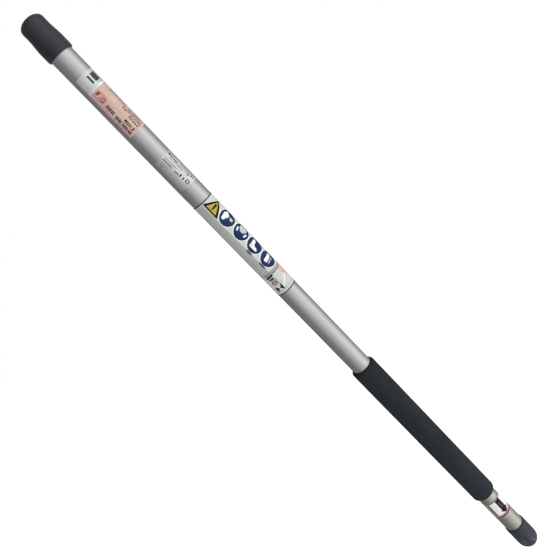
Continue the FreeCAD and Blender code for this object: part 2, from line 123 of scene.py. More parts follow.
def math_node(nt, op, a, b=None, clamp=False):
    m = nt.nodes.new("ShaderNodeMath")
    m.operation = op
    m.use_clamp = clamp
    for s, v in zip(m.inputs, (a, b)):
        if v is None:
            continue
        if isinstance(v, bpy.types.NodeSocket):
            nt.links.new(v, s)
        else:
            s.default_value = v
    return m.outputs[0]


def map_range(nt, v, a, b, c=0.0, d=1.0):
    m = nt.nodes.new("ShaderNodeMapRange")
    m.interpolation_type = "SMOOTHSTEP"
    nt.links.new(v, m.inputs["Value"])
    m.inputs["From Min"].default_value = a
    m.inputs["From Max"].default_value = b
    m.inputs["To Min"].default_value = c
    m.inputs["To Max"].default_value = d
    return m.outputs["Result"]


def bump(nt, bsdf, height, strength, distance):
    n = nt.nodes.new("ShaderNodeBump")
    n.inputs["Strength"].default_value = strength
    n.inputs["Distance"].default_value = distance
    nt.links.new(height, n.inputs["Height"])
    nt.links.new(n.outputs["Normal"], bsdf.inputs["Normal"])
    return n


def height_of(nt):
    """Object height along the pole, in metres, as a value."""
    tc = nt.nodes.new("ShaderNodeTexCoord")
    sep = nt.nodes.new("ShaderNodeSeparateXYZ")
    nt.links.new(tc.outputs["Object"], sep.inputs["Vector"])
    return sep.outputs["Z"]


# ------------------------------------------------------------------ materials


def satin_aluminium(name, light, dark, butt=None, rough=(0.26, 0.38)):
    m, nt, b = new_material(name, metallic=1.0)
    streak = noise_tex(nt, coords(nt, (1, 1, 0.006)), 1500, 4, 0.6)
    broad = noise_tex(nt, coords(nt, (1, 1, 0.03)), 160, 3, 0.5)
    blotch = noise_tex(nt, coords(nt, (1, 1, 0.5)), 60, 4, 0.6)
    col = ramp(nt, streak, [(0.34, dark), (0.66, light)])
    col = mix(nt, math_node(nt, "MULTIPLY", broad, 0.35), col, tuple(c * 0.9 for c in light))
    if butt:
        z = height_of(nt)
        near = map_range(nt, z, 0.40, 0.06)
        col = mix(nt, math_node(nt, "MULTIPLY", near, 0.85), col, butt)
    # short handling scratches, a shade darker
    scratch = noise_tex(nt, coords(nt, (1, 1, 0.16)), 900, 2, 0.4, 0.6)
    mask = ramp(nt, scratch, [(0.70, 0.0), (0.76, 1.0)])
    col = mix(nt, math_node(nt, "MULTIPLY", mask, 0.16), col, (0.30, 0.30, 0.30))
    nt.links.new(col, b.inputs["Base Color"])
    r = math_node(nt, "ADD", math_node(nt, "MULTIPLY", streak, rough[1] - rough[0]), rough[0])
    r = math_node(nt, "ADD", r, math_node(nt, "MULTIPLY", blotch, 0.06))
    nt.links.new(r, b.inputs["Roughness"])
    h = math_node(nt, "ADD", streak, math_node(nt, "MULTIPLY", blotch, 0.5))
    bump(nt, b, h, 0.18, 0.00002)
    return m


def turned_metal(name, color, rings=True, rough=0.3):
    m, nt, b = new_material(name, metallic=1.0)
    lines = noise_tex(nt, coords(nt, (0.02, 0.02, 1) if rings else (1, 1, 1)), 4200, 3, 0.5)
    cloud = noise_tex(nt, coords(nt), 220, 4, 0.6)
    col = ramp(nt, lines, [(0.3, tuple(c * 0.86 for c in color)), (0.7, color)])
    col = mix(nt, math_node(nt, "MULTIPLY", cloud, 0.3), col, tuple(c * 0.8 for c in color))
    nt.links.new(col, b.inputs["Base Color"])
    nt.links.new(
        math_node(nt, "ADD", math_node(nt, "MULTIPLY", cloud, 0.16), rough), b.inputs["Roughness"]
    )
    bump(nt, b, lines, 0.5, 0.00002)
    return m


def moulded(name, color, rough=0.5, grain=0.00003):
    m, nt, b = new_material(name)
    fine = noise_tex(nt, coords(nt), 2600, 2, 0.6)
    cloud = noise_tex(nt, coords(nt), 180, 4, 0.6)
    col = ramp(nt, cloud, [(0.3, tuple(c * 0.82 for c in color)), (0.7, tuple(min(1, c * 1.12) for c in color))])
    nt.links.new(col, b.inputs["Base Color"])
    nt.links.new(
        math_node(nt, "ADD", math_node(nt, "MULTIPLY", cloud, 0.16), rough - 0.08), b.inputs["Roughness"]
    )
    bump(nt, b, fine, 0.4, grain)
    return m


def vinyl(name, color, dust, rough, scuff_low, scuff_high, scuff_amount, sheen, gloss):
    """Dip-moulded vinyl: a soft-edged sheen with cloudy handling marks and pale dust towards one end."""
    m, nt, b = new_material(name)
    b.inputs["IOR"].default_value = 1.5
    b.inputs["Specular IOR Level"].default_value = sheen
    b.inputs["Coat Weight"].default_value = gloss
    b.inputs["Coat Roughness"].default_value = 0.075
    cloud = noise_tex(nt, coords(nt, (1, 1, 0.6)), 130, 5, 0.62)
    fine = noise_tex(nt, coords(nt), 1700, 3, 0.6)
    rub = noise_tex(nt, coords(nt, (1, 1, 0.25)), 420, 4, 0.7, 0.4)
    col = ramp(nt, cloud, [(0.28, tuple(c * 0.72 for c in color)), (0.55, color), (0.78, tuple(c * 1.35 for c in color))])
    z = height_of(nt)
    along = map_range(nt, z, scuff_low, scuff_high)
    spots = ramp(nt, rub, [(0.50, 0.0), (0.68, 1.0)])
    amount = math_node(nt, "MULTIPLY", math_node(nt, "MULTIPLY", along, spots), scuff_amount)
    col = mix(nt, amount, col, dust)
    specks = ramp(nt, noise_tex(nt, coords(nt), 1300, 1, 0.4), [(0.72, 0.0), (0.76, 1.0)])
    col = mix(nt, math_node(nt, "MULTIPLY", specks, 0.25), col, dust)
    nt.links.new(col, b.inputs["Base Color"])
    r = math_node(nt, "ADD", math_node(nt, "MULTIPLY", cloud, 0.22), rough - 0.09)
    r = math_node(nt, "ADD", r, math_node(nt, "MULTIPLY", amount, 0.3))
    nt.links.new(r, b.inputs["Roughness"])
    h = math_node(nt, "ADD", math_node(nt, "MULTIPLY", cloud, 1.5), math_node(nt, "MULTIPLY", fine, 0.25))
    bump(nt, b, h, 0.5, 0.00012)
    return m


def foam_material():
    m, nt, b = new_material("closed_cell_foam", roughness=0.9)
    b.inputs["Specular IOR Level"].default_value = 0.28
    pores = nt.nodes.new("ShaderNodeTexVoronoi")
    pores.feature = "F1"
    pores.inputs["Scale"].default_value = 1250
    nt.links.new(coords(nt), pores.inputs["Vector"])
    pore = ramp(nt, pores.outputs["Distance"], [(0.10, 0.0), (0.55, 1.0)])
    fine = noise_tex(nt, coords(nt), 2800, 3, 0.7)
    cloud = noise_tex(nt, coords(nt, (1, 1, 0.35)), 55, 5, 0.6)
    warm = noise_tex(nt, coords(nt, (1, 1, 0.3)), 24, 3, 0.5)
    col = ramp(nt, cloud, [(0.30, (0.0112, 0.0150, 0.0208)), (0.55, (0.0160, 0.0212, 0.0280)), (0.8, (0.0245, 0.0300, 0.0370))])
    col = mix(nt, ramp(nt, warm, [(0.52, 0.0), (0.75, 0.45)]), col, (0.0205, 0.0205, 0.0220))
    # painted shade: the colour is darkened towards near-black inside the pore hollows, where shade would fall
    col = mix(nt, math_node(nt, "SUBTRACT", 0.55, math_node(nt, "MULTIPLY", pore, 0.55)), col, (0.006, 0.007, 0.009))
    # painted sheen: the foam colour is lightened towards its lower end (0.26 m down to 0.11 m), standing in for how the
    # light falls on that end
    col = mix(nt, map_range(nt, height_of(nt), 0.26, 0.11, 0.0, 0.16), col, (0.055, 0.060, 0.066))
    dust = ramp(nt, noise_tex(nt, coords(nt), 700, 2, 0.5), [(0.70, 0.0), (0.76, 1.0)])
    col = mix(nt, math_node(nt, "MULTIPLY", dust, 0.14), col, (0.13, 0.14, 0.15))
    nt.links.new(col, b.inputs["Base Color"])
    nt.links.new(
        math_node(nt, "ADD", math_node(nt, "MULTIPLY", cloud, 0.2), 0.72), b.inputs["Roughness"]
    )
    h = math_node(nt, "ADD", pore, math_node(nt, "MULTIPLY", fine, 0.8))
    bump(nt, b, h, 0.75, 0.00022)
    return m


def printed(name, color, rough=0.3, metallic=0.0, spread=0.10, grain=900.0, second=None, coat=0.0, spec=0.5, gloss=0.14):
    """Printed film: the ink lies a little unevenly, and the laminate over it is finely scuffed."""
    m, nt, b = new_material(name, metallic=metallic)
    b.inputs["Specular IOR Level"].default_value = spec
    if coat:
        b.inputs["Coat Weight"].default_value = coat
        b.inputs["Coat Roughness"].default_value = gloss
    ink = noise_tex(nt, coords(nt), grain, 3, 0.6)
    cloud = noise_tex(nt, coords(nt, (1, 1, 0.5)), 120, 4, 0.6)
    lo = tuple(c * (1 - spread) for c in color)
    hi = tuple(min(1.0, c * (1 + spread)) for c in color)
    col = ramp(nt, ink, [(0.32, lo), (0.68, hi)])
    if second:
        col = mix(nt, ramp(nt, cloud, [(0.42, 0.0), (0.68, 0.8)]), col, second)
    nt.links.new(col, b.inputs["Base Color"])
    scuff = noise_tex(nt, coords(nt, (1, 1, 0.08)), 1500, 3, 0.6)
    r = math_node(nt, "ADD", math_node(nt, "MULTIPLY", scuff, 0.16), rough - 0.08)
    r = math_node(nt, "ADD", r, math_node(nt, "MULTIPLY", cloud, 0.06))
    nt.links.new(r, b.inputs["Roughness"])
    bump(nt, b, math_node(nt, "ADD", cloud, math_node(nt, "MULTIPLY", scuff, 0.3)), 0.25, 0.00004)
    return m


M_TUBE = satin_aluminium("satin_drawn_aluminium", (0.83, 0.83, 0.82), (0.70, 0.70, 0.69), butt=(0.66, 0.635, 0.56))
M_STAGE = satin_aluminium("inner_stage_aluminium", (0.80, 0.80, 0.80), (0.68, 0.68, 0.68), rough=(0.22, 0.34))
M_TURNED = turned_metal("turned_aluminium", (0.80, 0.80, 0.79))
M_STEEL = turned_metal("zinc_plated_steel", (0.62, 0.63, 0.64), rough=0.26)
M_THREAD = turned_metal("threaded_steel", (0.50, 0.50, 0.50), rough=0.3)
M_NYLON_BLACK = moulded("moulded_black_nylon", (0.022, 0.023, 0.026), 0.42)
M_NYLON_NATURAL = moulded("moulded_natural_nylon", (0.72, 0.69, 0.58), 0.4)
M_ORING = moulded("o_ring_rubber", (0.014, 0.014, 0.014), 0.55)
M_HEAD_CAP = vinyl("head_cap_vinyl", (0.0135, 0.0155, 0.024), (0.05, 0.055, 0.06), 0.42, 0.877, 0.900, 0.35, 0.12, 1.0)
M_BUTT_CAP = vinyl("butt_cap_vinyl", (0.030, 0.036, 0.048), (0.135, 0.140, 0.140), 0.46, 0.042, 0.006, 1.0, 0.38, 0.0)
M_FOAM = foam_material()

INK = {
    "white": printed("film_white", (0.58, 0.60, 0.575), 0.28, spread=0.06, second=(0.53, 0.56, 0.54), coat=0.25),
    "bright": printed("film_bright_white", (0.90, 0.91, 0.90), 0.26, spread=0.03, coat=0.25),
    "band": printed("film_band_white", (0.58, 0.585, 0.575), 0.28, spread=0.06, coat=0.2),
    "grey": printed("film_silver_grey", (0.42, 0.445, 0.42), 0.34, spread=0.10, second=(0.36, 0.385, 0.36), coat=0.15),
    "panel": printed("film_pale_green_grey", (0.55, 0.59, 0.54), 0.30, spread=0.07, second=(0.62, 0.61, 0.60), coat=0.2),
    "clear": printed("film_clear_on_aluminium", (0.74, 0.75, 0.75), 0.38, metallic=0.70, spread=0.03, grain=300.0),
    "haze": printed("film_haze_on_aluminium", (0.74, 0.74, 0.73), 0.36, metallic=0.88, spread=0.07),
    "beige": printed("film_beige_on_aluminium", (0.66, 0.635, 0.57), 0.36, metallic=0.8, spread=0.08),
    "black": printed("ink_black", (0.0075, 0.0070, 0.008), 0.42, spread=0.3, second=(0.016, 0.015, 0.016), spec=0.15),
    "line": printed("ink_dark_line", (0.012, 0.010, 0.016), 0.42, spread=0.25, spec=0.15),
    "fine": printed("ink_fine_grey", (0.065, 0.066, 0.067), 0.40, spread=0.3, spec=0.25),
    "faint": printed("ink_faint_grey", (0.42, 0.42, 0.41), 0.34, spread=0.15, coat=0.2),
    "slate": printed("ink_slate", (0.040, 0.041, 0.058), 0.38, spread=0.22, second=(0.065, 0.065, 0.083), spec=0.3),
    "navy": printed("ink_navy", (0.0065, 0.026, 0.092), 0.38, spread=0.24, second=(0.010, 0.040, 0.120), spec=0.18),
    "navy_edge": printed("ink_navy_edge", (0.0045, 0.0085, 0.024), 0.40, spread=0.2, spec=0.15),
    "yellow": printed("ink_yellow", (0.46, 0.34, 0.038), 0.36, spread=0.14, second=(0.56, 0.43, 0.09), spec=0.25),
    "red": printed("ink_red", (0.25, 0.060, 0.070), 0.34, spread=0.2, coat=0.2),
    "deep_red": printed("ink_deep_red", (0.17, 0.028, 0.05), 0.34, spread=0.22, coat=0.2),
    "rose": printed("ink_rose", (0.60, 0.38, 0.37), 0.32, spread=0.12, second=(0.66, 0.50, 0.48), coat=0.2),
    "mauve": printed("ink_grey_mauve", (0.34, 0.30, 0.305), 0.32, spread=0.15, second=(0.42, 0.34, 0.34), coat=0.2),
    "purple": printed("ink_purple", (0.26, 0.19, 0.25), 0.34, spread=0.18, second=(0.36, 0.25, 0.27), coat=0.2),
    "salmon": printed("film_salmon", (0.60, 0.41, 0.345), 0.36, metallic=0.25, spread=0.12, second=(0.66, 0.50, 0.44), coat=0.7, gloss=0.09),
    "salmon_deep": printed("film_salmon_deep", (0.52, 0.245, 0.20), 0.38, metallic=0.2, spread=0.16, second=(0.58, 0.35, 0.29), coat=0.7, gloss=0.09),
    "salmon_dark": printed("ink_brown", (0.045, 0.028, 0.027), 0.40, spread=0.3, second=(0.085, 0.05, 0.043), spec=0.25),
    "magenta": printed("ink_magenta", (0.48, 0.16, 0.23), 0.34, spread=0.2),
}

# ------------------------------------------------------------------ mesh helpers


def finish_mesh(name, bm, material, body, replaced=(), angle=32.0):
    bmesh.ops.recalc_face_normals(bm, faces=bm.faces)
    me = bpy.data.meshes.new(name)
    bm.to_mesh(me)
    bm.free()
    me.materials.append(material)
    me.shade_smooth()
    me.set_sharp_from_angle(angle=math.radians(angle))
    ob = bpy.data.objects.new(name, me)
    bpy.context.scene.collection.objects.link(ob)
    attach(ob, body)
    if replaced:
        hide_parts(*replaced)
    return ob


def lathe(loop, seg=160, wobble=None):
    """A closed turned solid from a loop of (radius, height) in millimetres. Points at radius 0 become poles."""
    bm = bmesh.new()
    rings = []
    for r, z in loop:
        if r < 1e-6:
            rings.append([bm.verts.new((0, 0, z * MM))])
            continue
        row = []
        for i in range(seg):
            a = 2 * math.pi * i / seg
            rr = r + (wobble(a, z, r) if wobble else 0.0)
            row.append(bm.verts.new((rr * math.sin(a) * MM, -rr * math.cos(a) * MM, z * MM)))
        rings.append(row)
    n = len(rings)
    for k in range(n):
        a, b = rings[k], rings[(k + 1) % n]
        if len(a) == 1 and len(b) == 1:
            continue
        for i in range(seg):
            j = (i + 1) % seg
            if len(a) == 1:
                bm.faces.new((a[0], b[i], b[j]))
            elif len(b) == 1:
                bm.faces.new((a[i], b[0], a[j]))
            else:
                bm.faces.new((a[i], b[i], b[j], a[j]))
    return bm


def spline(points, per=6):
    """A smooth centripetal curve through (r, z) points."""
    pts = [Vector((p[0], p[1])) for p in points]
    ext = [pts[0] * 2 - pts[1]] + pts + [pts[-1] * 2 - pts[-2]]
    out = []
    for i in range(1, len(ext) - 2):
        p0, p1, p2, p3 = ext[i - 1 : i + 3]
        t0 = 0.0
        t1 = t0 + max((p1 - p0).length, 1e-6) ** 0.5
        t2 = t1 + max((p2 - p1).length, 1e-6) ** 0.5
        t3 = t2 + max((p3 - p2).length, 1e-6) ** 0.5
        for k in range(per):
            t = t1 + (t2 - t1) * k / per
            a1 = p0 * ((t1 - t) / (t1 - t0)) + p1 * ((t - t0) / (t1 - t0))
            a2 = p1 * ((t2 - t) / (t2 - t1)) + p2 * ((t - t1) / (t2 - t1))
            a3 = p2 * ((t3 - t) / (t3 - t2)) + p3 * ((t - t2) / (t3 - t2))
            b1 = a1 * ((t2 - t) / (t2 - t0)) + a2 * ((t - t0) / (t2 - t0))
            b2 = a2 * ((t3 - t) / (t3 - t1)) + a3 * ((t - t1) / (t3 - t1))
            c = b1 * ((t2 - t) / (t2 - t1)) + b2 * ((t - t1) / (t2 - t1))
            out.append((max(c.x, 0.0), c.y))
    out.append((pts[-1].x, pts[-1].y))
    return out


def divide(a, b, step):
    n = max(1, int(math.ceil(abs(b - a) / step)))
    return [a + (b - a) * k / n for k in range(n + 1)]


def cyl(alpha_deg, z, r):
    a = math.radians(alpha_deg)
    return Vector((r * math.sin(a), -r * math.cos(a), z)) * MM


# ------------------------------------------------------------------ tubes

R_TUBE, R_BORE = 12.7, 11.45
t_lo, t_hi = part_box("outer_tube")
Z0, Z1 = t_lo.z / MM, t_hi.z / MM
outer = [(R_TUBE - 0.3, Z0), (R_TUBE - 0.09, Z0 + 0.09), (R_TUBE, Z0 + 0.3)]
outer += [(R_TUBE, z) for z in divide(Z0 + 4, Z1 - 4, 9.0)]
outer += [(R_TUBE, Z1 - 0.3), (R_TUBE - 0.09, Z1 - 0.09), (R_TUBE - 0.3, Z1)]
inner = [(R_BORE, z) for z in divide(Z1 - 0.1, Z0 + 0.1, 30.0)]
loop = outer + [(R_BORE + 0.12, Z1)] + inner + [(R_BORE + 0.12, Z0)]
finish_mesh("pole_tube", lathe(loop, 192), M_TUBE, "pole", ["outer_tube"])

s_lo, s_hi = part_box("inner_tube")
S0, S1 = s_lo.z / MM, s_hi.z / MM
loop = [(10.0 - 0.25, S0), (10.0, S0 + 0.25)] + [(10.0, z) for z in divide(S0 + 4, S1 - 4, 12.0)]
loop += [(10.0, S1 - 0.2), (10.0 - 0.2, S1), (8.8, S1)] + [(8.8, z) for z in divide(S1 - 4, S0 + 4, 40.0)] + [(8.8, S0)]
finish_mesh("sliding_stage_tube", lathe(loop, 160), M_STAGE, "inner_stage", ["inner_tube"])

# ------------------------------------------------------------------ foam grip

g_lo, g_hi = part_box("foam_grip")
G0, G1, GR, RND = g_lo.z / MM, g_hi.z / MM, 16.25, 3.3


def grip_wobble(a, z, r):
    if r < 13.0:
        return 0.0
    p = Vector((math.sin(a) * 1.3, -math.cos(a) * 1.3, z * 0.02))
    return -0.16 * (0.5 + 0.5 * noise.noise(p)) - 0.07 * (0.5 + 0.5 * noise.noise(p * 4.3 + Vector((7, 3, 1))))


arc = [(GR - RND + RND * math.sin(math.radians(t)), G0 + RND - RND * math.cos(math.radians(t))) for t in range(0, 91, 9)]
top = [(r, G0 + G1 - z) for r, z in reversed(arc)]
loop = [(12.76, G0 + 0.15), (12.9, G0)] + arc + [(GR, z) for z in divide(G0 + RND + 2, G1 - RND - 2, 2.6)] + top
loop += [(12.9, G1), (12.76, G1 - 0.15)] + [(12.76, z) for z in divide(G1 - 8, G0 + 8, 40.0)]
grip = finish_mesh("foam_hand_grip", lathe(loop, 176, grip_wobble), M_FOAM, "pole", ["foam_grip"], 40)

# ------------------------------------------------------------------ end caps


def cap_wobble(seed):
    def f(a, z, r):
        if r < 12.98:
            return 0.0
        p = Vector((math.sin(a) * 1.1 + seed, -math.cos(a) * 1.1, z * 0.06))
        return -0.07 * (0.5 + 0.5 * noise.noise(p)) - 0.03 * (0.5 + 0.5 * noise.noise(p * 3.7))

    return f


h_lo, h_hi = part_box("head_cap")
H0, H1 = h_lo.z / MM, h_hi.z / MM
nose, skirt, lip = 13.65, 14.9, 14.55
dome = [(nose, H1 - 8.05), (nose * 0.965, H1 - 5.6), (nose * 0.86, H1 - 3.64), (nose * 0.62, H1 - 1.19), (nose * 0.36, H1 - 0.02)]
outside = [(12.78, H0 + 0.15), (12.95, H0), (lip - 0.5, H0), (lip - 0.12, H0 + 0.2), (lip, H0 + 0.7)]
outside += spline([(lip, H0 + 0.7), (14.75, H0 + 1.7), (skirt, H0 + 3.2), (skirt, H0 + 8), (skirt, H1 - 32)], 5)[1:]
outside += spline([(skirt, H1 - 32), (skirt - 0.10, H1 - 29.0), (14.32, H1 - 23.4), (nose + 0.10, H1 - 17.6), (nose, H1 - 13.5), (nose, H1 - 11)] + dome, 6)[1:]
outside += [(nose * 0.2, H1), (0, H1)]
inside = [(0, H1 - 2.2), (nose * 0.33, H1 - 2.2), (nose * 0.56, H1 - 3.2), (nose * 0.77, H1 - 5.4), (11.9, H1 - 7.2), (12.2, H1 - 8.7), (12.2, Z1 + 2.9), (12.75, Z1 + 2.35), (12.75, Z1 - 8.0)]
head_cap_mesh = lathe(outside + inside, 176, cap_wobble(0.0))
for v in head_cap_mesh.verts:
    up_lip = 1.0 - (v.co.z / MM - H0) / 9.0
    if up_lip > 0.0:
        side = max(0.0, v.co.x) / v.co.xy.length
        v.co.z -= 1.3 * MM * up_lip * side * side
finish_mesh("head_end_vinyl_cap", head_cap_mesh, M_HEAD_CAP, "head_end_cap", ["head_cap"], 40)

b_lo, b_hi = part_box("butt_cap")
B0, B1 = b_lo.z / MM, b_hi.z / MM
skirt, lip = 14.3, 14.0
dome = [(skirt * 0.36, B0 + 0.02), (skirt * 0.62, B0 + 2.21), (skirt * 0.86, B0 + 6.76), (skirt * 0.965, B0 + 10.4), (skirt, B0 + 14.95)]
outside = [(0, B0), (skirt * 0.2, B0)] + spline(dome + [(skirt, B0 + 18)], 6)
outside += [(skirt, z) for z in divide(B0 + 20, B1 - 6, 4.0)]
outside += spline([(skirt, B1 - 4), (14.18, B1 - 1.8), (lip, B1 - 0.7)], 5)
outside += [(lip - 0.12, B1 - 0.2), (lip - 0.5, B1), (12.95, B1), (12.78, B1 - 0.15)]
inside = [(12.75, B1 - 8), (12.75, B0 + 11.7), (skirt * 0.78, B0 + 8.05), (skirt * 0.565, B0 + 4.0), (skirt * 0.33, B0 + 2.2), (0, B0 + 2.2)]
finish_mesh("butt_end_vinyl_cap", lathe(outside + inside, 176, cap_wobble(5.0)), M_BUTT_CAP, "butt_end_cap", ["butt_cap"], 40)

# ------------------------------------------------------------------ printed labels
# A label is laid out flat as (angle round the pole in degrees, height in millimetres), cut along every
# printed edge, then wrapped round the tube as a thin closed film.

R_IN, R_OUT = 12.715, 12.90
PRINT_RISE = 5.5  # the layouts below are drawn this much higher than the frame has them


def flat(a, z):
    return Vector((R_OUT * math.radians(a), z))


def rounded(pts, radius, n=5):
    """Rounds the corners of a flat polygon."""
    out = []
    k = len(pts)
    for i in range(k):
        p, q, s = pts[i - 1], pts[i], pts[(i + 1) % k]
        a, b = (p - q), (s - q)
        cut = min(radius, a.length * 0.45, b.length * 0.45)
        a, b = q + a.normalized() * cut, q + b.normalized() * cut
        for j in range(n + 1):
            t = j / n
            out.append(a * (1 - t) ** 2 + q * 2 * t * (1 - t) + b * t * t)
    return out


def rect(a0, a1, z0, z1, radius=0.0, slant=0.0):
    """slant turns the bar's high-z end by that many degrees round the pole."""
    pts = [flat(a0, z0), flat(a1, z0), flat(a1 + slant, z1), flat(a0 + slant, z1)]
    return rounded(pts, radius) if radius else pts


def disc(a, z, r, n=48, squash=1.0):
    c = flat(a, z)
    return [c + Vector((math.cos(2 * math.pi * k / n) * r * squash, math.sin(2 * math.pi * k / n) * r)) for k in range(n)]


def poly(pts, radius=0.0):
    pts = [flat(a, z) for a, z in pts]
    return rounded(pts, radius) if radius else pts


def text_row(a, z_from, z_to, height_deg, pieces, ink, tilt=0.0, seed=1):
    """A row of plain bars that stands for a line of print: no letters."""
    out = []
    z = z_from
    step = (z_to - z_from) / pieces
    for k in range(pieces):
        h = math.sin(seed * 12.9898 + k * 78.233) * 43758.5453
        f = h - math.floor(h)
        w = step * (0.55 + 0.27 * f)
        aa = a + tilt * (k / max(1, pieces - 1))
        hh = height_deg * (0.8 + 0.2 * f)
        out.append((rect(aa - hh / 2, aa + hh / 2, min(z, z + w), max(z, z + w)), ink))
        z += step
    return out


def label(name, node, base, prints, outline, grid=3.0, rows=8.0):
    a0, a1, z0, z1 = outline
    edge = rounded([flat(a0, z0), flat(a1, z0), flat(a1, z1), flat(a0, z1)], 1.6 if a1 - a0 < 340 else 0.05, 6)
    verts, edges, faces, keys = [], [], [], []

    def add(pts, key):
        k = len(verts)
        verts.extend(Vector((p[0], p[1])) for p in pts)
        faces.append(list(range(k, k + len(pts))))
        keys.append(key)

    add(edge, base)
    lim = (flat(a0, z0), flat(a1, z1))
    for pts, key in prints:
        pts = [Vector((min(max(p[0], lim[0][0]), lim[1][0]), min(max(p[1], lim[0][1]), lim[1][1]))) for p in pts]
        area = sum(pts[i - 1][0] * pts[i][1] - pts[i][0] * pts[i - 1][1] for i in range(len(pts)))
        if abs(area) < 1e-4:
            continue
        if area < 0:
            pts.reverse()
        add(pts, key)
    a = math.ceil(a0 / grid) * grid
    while a < a1:
        if a - a0 > 0.4 and a1 - a > 0.4:
            k = len(verts)
            verts.extend([flat(a, z0 - 0.5), flat(a, z1 + 0.5)])
            edges.append((k, k + 1))
        a += grid
    for z in divide(z0, z1, rows)[1:-1]:
        k = len(verts)
        verts.extend([flat(a0 - 0.5, z), flat(a1 + 0.5, z)])
        edges.append((k, k + 1))
    ov, oe, of, _, _, origin = delaunay_2d_cdt(verts, edges, faces, 0, 1e-5, True)
    used = sorted(set(keys))
    slot_of = {k: i for i, k in enumerate(used)}
    bm = bmesh.new()
    top_v, low_v = {}, {}

    def corner(table, i, r):
        if i not in table:
            p = ov[i]
            ang = p[0] / R_OUT
            table[i] = bm.verts.new((r * math.sin(ang) * MM, -r * math.cos(ang) * MM, (p[1] - PRINT_RISE) * MM))
        return table[i]

    rim = {}
    base_i = 0
    for f, src in zip(of, origin):
        if base_i not in src:
            continue
        p = [ov[i] for i in f]
        area = sum(p[i - 1][0] * p[i][1] - p[i][0] * p[i - 1][1] for i in range(len(p)))
        if abs(area) < 1e-9:
            continue
        ids = list(f) if area > 0 else list(reversed(f))
        face = bm.faces.new([corner(top_v, i, R_OUT) for i in ids])
        face.material_index = slot_of[keys[max(src)]]
        low = bm.faces.new([corner(low_v, i, R_IN) for i in reversed(ids)])
        low.material_index = slot_of[base]
        for i in range(len(ids)):
            e = (ids[i], ids[(i + 1) % len(ids)])
            if (e[1], e[0]) in rim:
                del rim[(e[1], e[0])]
            else:
                rim[e] = face.material_index
    for (i, j), mi in rim.items():
        f = bm.faces.new((top_v[j], top_v[i], low_v[i], low_v[j]))
        f.material_index = mi
    me = bpy.data.meshes.new(name)
    bm.to_mesh(me)
    bm.free()
    for k in used:
        me.materials.append(INK[k])
    me.shade_smooth()
    normals = []
    for p in me.polygons:
        radial = [Vector((me.vertices[v].co.x, me.vertices[v].co.y, 0)) for v in p.vertices]
        side = sum((r.length for r in radial)) / len(radial) / MM
        n = p.normal
        out = Vector((p.center.x, p.center.y, 0)).normalized()
        for r in radial:
            if side > R_OUT - 0.01 and n.dot(out) > 0.5:
                normals.append(r.normalized())
            elif side < R_IN + 0.01 and n.dot(out) < -0.5:
                normals.append(-r.normalized())
            else:
                normals.append(n.copy())
    me.normals_split_custom_set(normals)
    ob = bpy.data.objects.new(name, me)
    bpy.context.scene.collection.objects.link(ob)
    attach(ob, "pole")
    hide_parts(node)
    return ob


def node_span(node):
    lo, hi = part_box(node)
    return lo.z / MM + PRINT_RISE, hi.z / MM + PRINT_RISE


# --- the large pictogram label
z0, z1 = node_span("pictogram_label")
P = []
# silver-grey lower field with its straight, slightly skewed upper edge
P.append((poly([(-12.6, z1), (-4.2, 551.0), (-4.2, 551.0), (-118, 551.0), (-118, z1)]), "grey"))
P.append((poly([(-12.8, 660.6), (-4.3, 551.2), (-6.6, 551.2), (-15.1, 660.6)]), "bright"))
# bright halos, then the discs
CENTRES = [(32.5, 631.3), (35.5, 609.4), (37.8, 587.9), (38.8, 566.3)]
for a, z in CENTRES:
    P.append((disc(a, z, 10.75, 64), "bright"))
    P.append((disc(a, z, 10.0, 64), "navy_edge"))
    P.append((disc(a, z, 9.3, 64), "navy"))
# slivers of a second row, just under the third and fourth discs
P.append((poly([(-8.0, 592.6), (-8.0, 581.4), (-16.4, 584.2), (-16.4, 590.0)], 1.2), "navy_edge"))
P.append((poly([(-6.8, 572.0), (-6.8, 560.0), (-15.6, 562.6), (-15.6, 569.4)], 1.2), "navy_edge"))
# abstract marks in the discs: plain rounded blocks and arcs
a, z = CENTRES[0]
P.append((poly([(a - 3, z + 6.6), (a + 16, z + 7.2), (a + 22, z + 1.0), (a + 6, z - 0.8), (a - 26, z + 3.0), (a - 24, z + 6.0)], 1.8), "bright"))
P.append((poly([(a + 14, z - 0.6), (a + 12, z - 6.8), (a - 4, z - 6.6), (a - 2, z - 2.0)], 1.5), "white"))
P.append((disc(a + 3.0, z - 1.6, 1.5, 20), "navy"))
P.append((disc(a + 24.0, z + 3.4, 1.4, 20), "bright"))
P.append((poly([(a - 6, z + 1.6), (a - 12, z - 3.6), (a - 16, z - 2.0), (a - 11, z + 2.6)], 0.8), "navy"))
a, z = CENTRES[1]
P.append((poly([(a + 10, z + 5.2), (a + 30, z + 4.6), (a + 34, z), (a + 30, z - 4.6), (a + 10, z - 5.2), (a + 2, z - 3.4), (a + 2, z + 3.4)], 1.6), "white"))
P.append((poly([(a + 4, z + 7.8), (a + 6, z + 5.8), (a - 14, z + 4.4), (a - 16, z + 6.2)], 0.8), "bright"))
P.append((poly([(a + 4, z - 7.8), (a + 6, z - 5.8), (a - 14, z - 4.4), (a - 16, z - 6.2)], 0.8), "bright"))
P.append((rect(a - 4, a - 0.5, z - 2.6, z + 2.6, 0.5), "bright"))
P.append((rect(a + 12, a + 16, z - 3.4, z + 3.4, 0.5), "faint"))
a, z = CENTRES[2]
P.append((poly([(a + 24, z + 5.4), (a + 24, z + 1.6), (a - 6, z + 0.6), (a - 14, z - 5.4), (a - 24, z - 5.6), (a - 26, z + 5.0)], 1.1), "bright"))
P.append((poly([(a - 6, z + 4.4), (a - 6, z + 3.2), (a - 19, z + 1.6), (a - 20, z + 3.2)], 0.4), "faint"))
a, z = CENTRES[3]
P.append((poly([(a + 26, z + 4.2), (a + 24, z + 0.2), (a - 24, z - 1.6), (a - 25, z + 3.2)], 1.0), "bright"))
